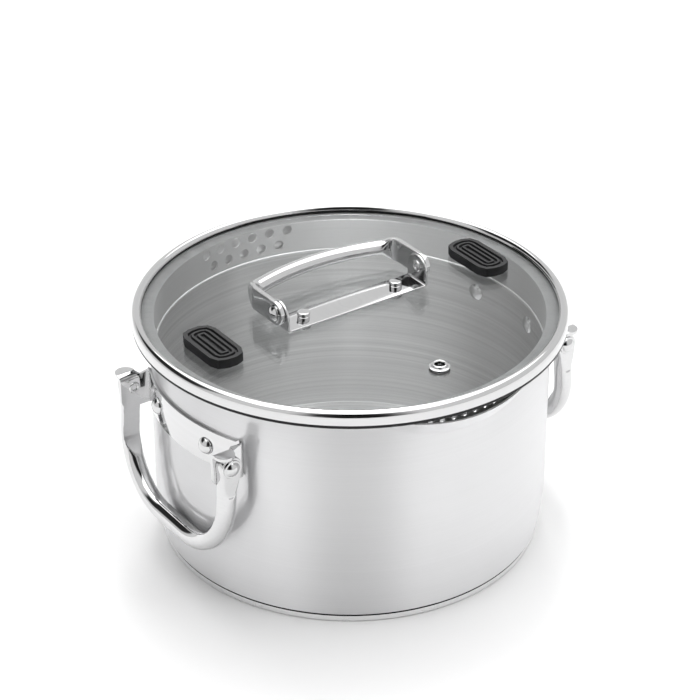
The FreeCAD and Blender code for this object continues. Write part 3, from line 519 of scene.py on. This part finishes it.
def handleBracket(side):
    low, high = bracketLow.z, bracketHigh.z
    folded = high - bracket["sheet"]
    earAngle = math.asin(earY / wallRadius)
    startX = wallRadius * math.cos(earAngle)
    tabX = earX - bracket["tabWidth"]
    bm = bmesh.new()
    verts = [bm.verts.new((startX, -earY, z)) for z in (low, high)]
    edge = bm.edges.new(verts)
    bmesh.ops.spin(bm, geom=verts + [edge], cent=(0, 0, 0), axis=up, dvec=(0, 0, 0), angle=2 * earAngle,
                   steps=40, use_duplicate=False)
    for way in (-1, 1):
        def atEnd(x):
            return lambda co: near(co.x, x) and near(co.y, way * earY)
        extrudeEdge(bm, atEnd(startX), (tabX - startX, 0, 0))
        extrudeEdge(bm, atEnd(tabX), (earX - tabX, 0, 0))
        for vert in bm.verts:
            if near(vert.co.y, way * earY) and vert.co.x > tabX - 0.1 and near(vert.co.z, high):
                vert.co.z = folded
        extrudeEdge(bm, lambda co: near(co.y, way * earY) and co.x > tabX - 0.1
                    and near(co.z, folded),
                    (0, way * bracket["tabLength"], 0))
        roundCorners(bm, lambda co: near(co.x, earX) and near(co.y, way * earY) and near(co.z, low),
                     bracket["corner"], 6)
        roundCorners(bm, lambda co: near(co.y, way * bracketHigh.y),
                     bracket["tabWidth"] / 2 - 0.05, 10)
        roundEdges(bm, lambda co: near(co.y, way * earY) and near(co.z, folded),
                   bracket["tabBend"], 6)
        roundEdges(bm, lambda co: near(co.x, startX) and near(co.y, way * earY), bracket["bend"], 6)
    bmesh.ops.recalc_face_normals(bm, faces=bm.faces)
    middle = Vector((0, 0, (low + high) / 2))

    def aside(face):
        away = face.calc_center_median() - middle
        return abs(away.y) + abs(away.z)

    if min(bm.faces, key=aside).normal.x < 0:
        bmesh.ops.reverse_faces(bm, faces=bm.faces)
    piece = finishPiece(side + "HandleBracket", moved(bm, halfTurn(side)), "pot",
                        [mirrorSteel], [side + "_handle_bracket"])
    addModifier(piece, "SOLIDIFY", thickness=bracket["sheet"] * metre, offset=1.0,
                use_even_offset=True)
    softenEdges(piece, bracket["soft"], bracket["softSteps"])


def bracketRivets(side):
    parts = []
    for way in (-1, 1):
        aim = (Matrix.Rotation(math.radians(way * bracket["rivetAngle"]), 4, "Z")
               @ Matrix.Rotation(math.pi / 2, 4, "Y"))
        lift = Matrix.Translation((0, 0, (bracketLow.z + bracketHigh.z) / 2))
        out = Matrix.Translation((0, 0, wallRadius - pot["wall"] - bracket["headGap"]))
        grip = pot["wall"] + bracket["headGap"] + bracket["sheet"]
        rivet = domeRivet(bracket["rivetHead"], bracket["rivetRise"], grip, bracket["rivetShank"],
                          bracket["rivetHead"], bracket["rivetRise"] / 2)
        parts.append(moved(rivet, halfTurn(side) @ lift @ aim @ out))
    finishPiece(side + "BracketRivets", joined(parts), "pot", [mirrorSteel],
                [side + "_bracket_rivets"])


grip = {"round": 6.25, "drop": 72.0, "corner": 44.0, "eyeHalf": 7.5, "eyeSheet": 7.2, "legSet": 1.75,
        "gap": 0.3, "outerFlat": 19.5, "outerRamp": 2.4, "innerFlat": 33.0, "innerRamp": 18.0,
        "neck": 8.0, "pressFoot": 4.0, "pressRamp": 14.0, "pressed": 6.0, "restGap": 0.4,
        "eyeAngles": (86, 80, 72, 62, 50, 37, 24, 12, 0),
        "legDepths": (2.5, 5.0, 8.0, 11.0, 14.0, 17.0, 19.0), "cornerSteps": 40, "sides": 48,
        "soft": 0.3}
legY = earY + grip["gap"] + grip["legSet"]


def gripSection(y, depth):
    # the bar's end is pressed into a flat eye: an outer flat, and a longer inner one that clears the ear
    half = grip["eyeHalf"] + (grip["round"] - grip["eyeHalf"]) * clamped(depth / grip["neck"])
    if depth < 0:
        half = math.sqrt(grip["eyeHalf"] ** 2 - depth ** 2)
    inner = abs(y) - earY - grip["gap"]
    outer = grip["eyeSheet"] - inner
    inward = rounded(clamped((depth - grip["innerFlat"]) / grip["innerRamp"]))
    outward = rounded(clamped((depth - grip["outerFlat"]) / grip["outerRamp"]))
    roundness = rounded(clamped((depth - grip["pressFoot"]) / grip["pressRamp"]))
    square = grip["pressed"] - (grip["pressed"] - 2.0) * roundness
    return (grip["round"], half, square, -inner - (grip["round"] - inner) * inward,
            outer + (grip["round"] - outer) * outward)


def handle(side):
    pivot = pivotMm("right_grip_hinge")
    turnZ, barY = -(grip["drop"] - grip["corner"]), legY - grip["corner"]
    depths = [-grip["eyeHalf"] * math.sin(math.radians(angle)) for angle in grip["eyeAngles"]]
    depths += grip["legDepths"]
    depths += [grip["outerFlat"] + grip["outerRamp"] * step / 5 for step in range(6)] + [24.0]
    half = [(legY, -depth) for depth in depths]
    half += arcPoints((barY, turnZ), grip["corner"], 0, -90, grip["cornerSteps"])
    path = half + [(-y, z) for y, z in reversed(half)]
    lean = math.asin((wallRadius + grip["round"] + grip["restGap"] - pivot.x) / grip["drop"])
    stations = []
    for (y, z), across in zip(path, crossings(path)):
        stations.append((Vector((0, y, z)), Vector((0, across.x, across.y)), Vector((1, 0, 0)),
                         *gripSection(y, -z)))
    bm = swept(stations, grip["sides"])
    place = halfTurn(side) @ Matrix.Translation(pivot) @ Matrix.Rotation(-lean, 4, "Y")
    piece = finishPiece(side + "Handle", moved(bm, place), side + "_grip",
                        [mirrorSteel], [side + "_handle"], sharp=26)
    softenEdges(piece, grip["soft"])


def pivotRivets(side):
    pivot = pivotMm("right_grip_hinge")
    parts = []
    for way in (-1, 1):
        turn = Matrix.Rotation(-way * math.pi / 2, 4, "X")
        place = Matrix.Translation((pivot.x, way * (earY - bracket["sheet"]), pivot.z))
        rivet = hollowRivet(bracket["sheet"] + grip["gap"] + grip["eyeSheet"])
        parts.append(moved(rivet, halfTurn(side) @ place @ turn))
    finishPiece(side + "PivotRivets", joined(parts), "pot", [mirrorSteel],
                [side + "_pivot_rivets"])


for side in ("right", "left"):
    handleBracket(side)
    bracketRivets(side)
    handle(side)
    pivotRivets(side)
print("side handles made")


# the lid

def rimBand():
    rim = {"crown": 4.0, "bottomRoll": 1.4, "foldTop": 2.6, "overlap": 3.5, "soft": 0.2, "steps": 288}
    outer, inner, glassTop = rimHigh.x, glassHigh.x + 0.1, glassHigh.z
    lip = inner - rim["overlap"]
    points = [(lip, glassTop + 0.02), (inner, glassTop + 0.02), (inner, rimLow.z + 0.4)]
    points += arcPoints((outer - rim["bottomRoll"], rimLow.z + rim["bottomRoll"]),
                        rim["bottomRoll"], -90, 0, 8)
    points += [(outer, rimLow.z + rim["foldTop"])]
    points += arcPoints((outer - rim["crown"], rimHigh.z - rim["crown"]), rim["crown"], 0, 90, 16)
    points += [(lip + 1.6, rimHigh.z - 0.5), (lip + 0.6, rimHigh.z - 1.6),
               (lip + 0.1, rimHigh.z - 3.0)]
    band = finishPiece("lidRimBand", turned(points, rim["steps"], closed=True), "lid",
                       [mirrorSteel, paintedShadeSteel], ["lid_rim"], sharp=50)
    # painted shade: the bottom roll and the inner lip by the glass take the dark painted-shade steel, as
    # the shadow in the gap under the band and beside the glass
    paintFaces(band, 1, lambda middle: middle.z < rimLow.z + rim["foldTop"]
               or math.hypot(middle.x, middle.y) < lip + 0.2)
    softenEdges(band, rim["soft"])


def skirtHem():
    # the strainer skirt's lower edge is rolled smooth
    hem = {"bead": 1.3, "clearance": 1.5, "sheet": 1.0}
    radius = wallRadius - pot["wall"] - hem["clearance"] - hem["sheet"] / 2
    height = boxMm("strainer_ring")[0].z + hem["bead"]
    ring = arcPoints((radius, height), hem["bead"], 0, 330, 11)
    finishPiece("skirtHem", turned(ring, 192, closed=True), "lid", [satinSkirt], [])


def ventEyelet():
    vent = {"bore": 3.1, "tube": 4.2, "flange": 6.7, "collar": 0.9}
    low, high = boxMm("vent_eyelet")
    middle = (low + high) / 2
    top, bottom = glassHigh.z, glassLow.z
    rise = high.z - top
    points = [(vent["bore"], low.z + 0.5), (vent["bore"] + 0.5, low.z), (vent["flange"] - 0.5, low.z),
              (vent["flange"], low.z + 0.5), (vent["flange"], bottom), (vent["tube"], bottom),
              (vent["tube"], top), (vent["flange"], top), (vent["flange"], top + 0.5),
              (vent["flange"] - 0.7, top + vent["collar"]),
              (vent["flange"] - 1.5, top + vent["collar"])]
    # the rolled lip round the bore
    points += arcPoints(((vent["flange"] - 1.6 + vent["bore"]) / 2, high.z - rise / 2.4), 0.95,
                        20, 170, 8)
    points += [(vent["bore"], top + 0.4)]
    bm = turned(points, 64, closed=True)
    moved(bm, Matrix.Translation((middle.x, middle.y, 0)))
    finishPiece("ventEyelet", bm, "lid", [mirrorSteel], ["vent_eyelet"])


def thumbPad(side):
    pad = {"chamfer": 8.2, "border": 2.7, "slope": 0.35, "ridge": 1.5, "groove": 1.45, "depth": 1.5,
           "rings": 2, "soft": 0.5}
    low, high = boxMm(side + "_thumb_pad")
    middle, extent = (low + high) / 2, high - low
    bm = bmesh.new()
    bmesh.ops.create_grid(bm, x_segments=1, y_segments=1, size=0.5)
    bmesh.ops.scale(bm, vec=(extent.x, extent.y, 1), verts=bm.verts)
    bmesh.ops.bevel(bm, geom=list(bm.verts), offset=pad["chamfer"], offset_type="OFFSET", affect="VERTICES",
                    segments=2, profile=0.5, material=-1)
    floor = max(bm.faces, key=lambda f: f.calc_area())
    block = bmesh.ops.extrude_face_region(bm, geom=[floor])["geom"]
    bmesh.ops.translate(bm, vec=(0, 0, extent.z),
                        verts=[v for v in block if isinstance(v, bmesh.types.BMVert)])
    top = max(bm.faces, key=lambda f: f.calc_center_median().z)
    bmesh.ops.recalc_face_normals(bm, faces=bm.faces)
    steps = [(pad["border"], 0)]
    for ring in range(pad["rings"]):
        steps += [(pad["slope"], -pad["depth"]), (pad["groove"], 0),
                  (pad["slope"], pad["depth"]), (pad["ridge"], 0)]
    steps += [(pad["slope"], -pad["depth"])]
    for thickness, depth in steps:
        bmesh.ops.inset_region(bm, faces=[top], thickness=thickness, depth=depth,
                               use_boundary=True, use_even_offset=True)
    moved(bm, Matrix.Translation((middle.x, middle.y, low.z)))
    piece = finishPiece(side + "ThumbPad", bm, "lid", [blackSilicone],
                        [side + "_thumb_pad"], sharp=25)
    softenEdges(piece, pad["soft"], 3)


rimBand()
skirtHem()
ventEyelet()
for side in ("right", "left"):
    thumbPad(side)
print("lid made")


# the lid handle: its strip and its folding bail
lidHandle = {"sheet": 1.6, "bend": 2.6, "bailSheet": 3.2, "bailHeight": 16.4, "reach": 43.0,
             "corner": 13.0, "bow": 150.0, "grip": 5.1, "gap": 0.3,
             "eyeAngles": (85, 78, 68, 56, 42, 28, 14, 0), "armShares": (0.35, 0.7),
             "cornerSteps": 28, "bowSteps": 30, "rampStart": 0.3, "rampLength": 0.62,
             "pressed": 9.0, "sides": 48, "stripSoft": 0.4, "bailSoft": 0.35, "softSteps": 3}


def lidBracket():
    halfX, halfY = plateHigh.x, plateHigh.y
    bm = bmesh.new()
    bmesh.ops.create_grid(bm, x_segments=1, y_segments=1, size=1)
    bmesh.ops.scale(bm, vec=(halfX, halfY, 1), verts=bm.verts)
    bmesh.ops.translate(bm, vec=(0, 0, plateLow.z), verts=bm.verts)
    for way in (-1, 1):
        extrudeEdge(bm, lambda co: near(co.x, way * halfX) and near(co.z, plateLow.z),
                    (0, 0, plateHigh.z - plateLow.z))
        roundCorners(bm, lambda co: near(co.x, way * halfX) and near(co.z, plateHigh.z),
                     halfY - 0.05, 14)
        roundEdges(bm, lambda co: near(co.x, way * halfX) and near(co.z, plateLow.z),
                   lidHandle["bend"], 6)
    bmesh.ops.recalc_face_normals(bm, faces=bm.faces)
    floor = min(bm.faces, key=lambda f: abs(f.calc_center_median().x))
    if floor.normal.z < 0:
        bmesh.ops.reverse_faces(bm, faces=bm.faces)
    piece = finishPiece("lidHandleBracket", bm, "lid", [mirrorSteel],
                        ["lid_handle_bracket"])
    addModifier(piece, "SOLIDIFY", thickness=lidHandle["sheet"] * metre, offset=1.0,
                use_even_offset=True)
    softenEdges(piece, lidHandle["stripSoft"], lidHandle["softSteps"])


def lidBail():
    # a bowed round bar, pressed into a flat strap round each corner and along to its eye
    pivot = pivotMm("lid_bail_hinge")
    bailX = plateHigh.x + lidHandle["gap"] + lidHandle["bailSheet"] / 2
    cornerX = bailX - lidHandle["corner"]
    bowY = lidHandle["reach"] - lidHandle["bow"]
    rise = math.sqrt((lidHandle["bow"] - lidHandle["corner"]) ** 2 - cornerX ** 2)
    turnY = bowY + rise
    meet = math.degrees(math.atan2(rise, cornerX))
    eye = lidHandle["bailHeight"] / 2
    turns = lidHandle["cornerSteps"]
    arm = [(bailX, -eye * math.sin(math.radians(angle))) for angle in lidHandle["eyeAngles"]]
    arm += [(bailX, turnY * share) for share in lidHandle["armShares"]]
    corner = arcPoints((cornerX, turnY), lidHandle["corner"], 0, meet, turns)
    bow = arcPoints((0, bowY), lidHandle["bow"], meet, 90, lidHandle["bowSteps"])[1:]
    ramps = [0.0] * len(arm)
    ramps += [rounded(clamped((step / turns - lidHandle["rampStart"]) / lidHandle["rampLength"]))
              for step in range(turns + 1)]
    ramps += [1.0] * len(bow)
    half = arm + corner + bow
    path = half + [(-x, y) for x, y in reversed(half[:-1])]
    stations = []
    for (x, y), across, ramp in zip(path, crossings(path), ramps + ramps[-2::-1]):
        tall = math.sqrt(eye ** 2 - min(y, 0) ** 2)
        wide = lidHandle["bailSheet"] / 2 * (1 - ramp) + lidHandle["grip"] * ramp
        thick = tall * (1 - ramp) + lidHandle["grip"] * ramp
        square = lidHandle["pressed"] - (lidHandle["pressed"] - 2.0) * ramp ** 0.4
        stations.append((Vector((x, y, 0)), Vector((across.x, across.y, 0)), up,
                         wide, thick, square, -eye, eye))
    bm = moved(swept(stations, lidHandle["sides"]), Matrix.Translation(pivot))
    piece = finishPiece("lidHandleBail", bm, "lid_bail", [mirrorSteel],
                        ["lid_handle"], sharp=35)
    softenEdges(piece, lidHandle["bailSoft"], lidHandle["softSteps"])


def lidRivets():
    pivot = pivotMm("lid_bail_hinge")
    parts = []
    for way in (-1, 1):
        turn = Matrix.Rotation(way * math.pi / 2, 4, "Y")
        place = Matrix.Translation((way * (plateHigh.x - lidHandle["sheet"]), 0, pivot.z))
        rivet = hollowRivet(lidHandle["sheet"] + lidHandle["gap"] + lidHandle["bailSheet"])
        parts.append(moved(rivet, place @ turn))
    finishPiece("lidHandleRivets", joined(parts), "lid", [mirrorSteel],
                ["lid_handle_rivets"])


def lidNuts():
    nut = {"chamfer": 0.8, "neck": 0.25, "neckRows": (1.5, 1.7, 2.1, 2.3)}
    low, high = boxMm("lid_handle_nuts")
    radius = (high.y - low.y) / 2
    screwX = high.x - radius
    first, second, third, fourth = (low.z + row for row in nut["neckRows"])
    parts = []
    for way in (-1, 1):
        points = [(0, low.z), (radius, low.z), (radius, first), (radius - nut["neck"], second),
                  (radius - nut["neck"], third), (radius, fourth), (radius, high.z - nut["chamfer"])]
        points += arcPoints((radius - nut["chamfer"], high.z - nut["chamfer"]), nut["chamfer"],
                            0, 90, 5)[1:]
        points += [(0, high.z)]
        parts.append(moved(turned(points, 48), Matrix.Translation((way * screwX, 0, 0))))
    finishPiece("lidHandleNuts", joined(parts), "lid", [mirrorSteel],
                ["lid_handle_nuts"])


lidBracket()
lidBail()
lidRivets()
lidNuts()
print("lid handle made")


# CAD pieces that keep their own shape take a material only
kept = {"strainer_ring": satinSkirt, "lid_glass": clearGlass, "lid_handle_gaskets": blackSilicone,
        "lid_under_gaskets": blackSilicone, "lid_handle_screws": mirrorSteel, "base_core": castAluminium}
for name, material in kept.items():
    mesh = frame["nodes"][name].data
    mesh.materials.clear()
    mesh.materials.append(material)
print("kept pieces finished")


# the studio: metres and degrees, and strengths of light
studio = {"floorSize": 14.0, "paper": ("#f9f9f9", "#fbfbfb"), "paperGrainMm": 40, "dome": 0.84,
          "cards": ((-3, 19, 16, -20, 74, 12, 0.0), (0, 20, 3, 20, 42, 2, 0.02),
                    (0, 180, 1, 2, 22, 2, 0.05), (110, 30, 6, 14, 48, 5, 0.03),
                    (180, 6, 3, 44, 76, 5, 10.0)),
          "lampPlace": (0.15, 0.2, 1.8), "lampAim": (0, 0, 0.08), "lampSize": 2.6, "lampWatts": 31,
          "cameraTurn": 35.0, "cameraBack": 1.29766, "cameraHeight": 0.8764, "pitch": 30.06,
          "focal": 118.3, "sensor": 36}
turnAngle = math.radians(studio["cameraTurn"])


def paleFloor():
    bm = bmesh.new()
    bmesh.ops.create_grid(bm, x_segments=8, y_segments=8, size=studio["floorSize"] / 2)
    mesh = bpy.data.meshes.new("floor")
    bm.to_mesh(mesh)
    bm.free()
    floor = bpy.data.objects.new("floor", mesh)
    bpy.context.scene.collection.objects.link(floor)
    material, tree = startMaterial("matteBackdropPaper")
    dark, light = studio["paper"]
    grain = addNode(tree, "ShaderNodeTexNoise", {"Scale": perMetre(studio["paperGrainMm"])},
                    {"Vector": addNode(tree, "ShaderNodeTexCoord").outputs["Object"]})
    tone = addNode(tree, "ShaderNodeMix", {"data_type": "RGBA", 6: linear(dark), 7: linear(light)},
                   {0: grain.outputs["Fac"]})
    shader = addNode(tree, "ShaderNodeBsdfDiffuse", links={"Color": tone.outputs[2]})
    addNode(tree, "ShaderNodeOutputMaterial", links={"Surface": shader.outputs[0]})
    mesh.materials.append(material)


def softDome():
    # a white dome with black cards and one bright strip hung in it: turn from the camera, half width,
    # its softness, lowest and highest height and their softness, in degrees, then brightness
    world = bpy.data.worlds.new("softDome")
    bpy.context.scene.world = world
    world.use_nodes = True
    tree = world.node_tree
    tree.nodes.clear()
    way = addNode(tree, "ShaderNodeTexCoord").outputs["Generated"]
    split = addNode(tree, "ShaderNodeSeparateXYZ", links={0: way})
    flat = addNode(tree, "ShaderNodeCombineXYZ",
                   links={"X": split.outputs["X"], "Y": split.outputs["Y"]})
    level = addNode(tree, "ShaderNodeVectorMath", {"operation": "NORMALIZE"}, {0: flat.outputs[0]})

    def towards(turn):
        aim = (-math.sin(turn), -math.cos(turn), 0)
        return addNode(tree, "ShaderNodeVectorMath", {"operation": "DOT_PRODUCT", 1: aim},
                       {0: level.outputs[0]}).outputs["Value"]

    def window(source, low, high):
        return addNode(tree, "ShaderNodeMapRange",
                       {"interpolation_type": "SMOOTHSTEP", "From Min": low, "From Max": high},
                       {"Value": source}).outputs[0]

    def product(a, b):
        return addNode(tree, "ShaderNodeMath", {"operation": "MULTIPLY"}, {0: a, 1: b}).outputs[0]

    def sine(angle):
        return math.sin(math.radians(angle))

    def cosine(angle):
        return math.cos(math.radians(angle))

    strength = None
    height = split.outputs["Z"]
    for turn, half, soft, low, high, tall, shade in studio["cards"]:
        across = window(towards(turnAngle + math.radians(turn)), cosine(half + soft),
                        cosine(max(half - soft, 0)))
        bottom = window(height, sine(low - tall), sine(low + tall))
        top = window(height, sine(high + tall), sine(high - tall))
        card = product(across, product(bottom, top))
        links = {0: card} if strength is None else {0: card, 2: strength}
        strength = addNode(tree, "ShaderNodeMix",
                           {"data_type": "FLOAT", 2: studio["dome"], 3: shade}, links).outputs[0]
    light = addNode(tree, "ShaderNodeBackground", {"Color": (1, 1, 1, 1)}, {"Strength": strength})
    addNode(tree, "ShaderNodeOutputWorld", links={"Surface": light.outputs[0]})


def softBox():
    lamp = bpy.data.lights.new("overheadBox", "AREA")
    lamp.size = studio["lampSize"]
    lamp.energy = studio["lampWatts"]
    box = bpy.data.objects.new("overheadBox", lamp)
    bpy.context.scene.collection.objects.link(box)
    box.location = studio["lampPlace"]
    ahead = Vector(studio["lampAim"]) - Vector(studio["lampPlace"])
    box.rotation_euler = ahead.to_track_quat("-Z", "Y").to_euler()


def camera():
    lens = bpy.data.cameras.new("camera")
    lens.lens, lens.sensor_width = studio["focal"], studio["sensor"]
    eye = bpy.data.objects.new("camera", lens)
    bpy.context.scene.collection.objects.link(eye)
    back = studio["cameraBack"]
    eye.location = (-back * math.sin(turnAngle), -back * math.cos(turnAngle), studio["cameraHeight"])
    pitch = math.radians(studio["pitch"])
    ahead = Vector((math.sin(turnAngle) * math.cos(pitch), math.cos(turnAngle) * math.cos(pitch),
                    -math.sin(pitch)))
    eye.rotation_euler = ahead.to_track_quat("-Z", "Y").to_euler()
    bpy.context.scene.camera = eye


paleFloor()
softDome()
softBox()
camera()
bpy.context.scene.view_settings.view_transform = "Standard"
print("studio made")
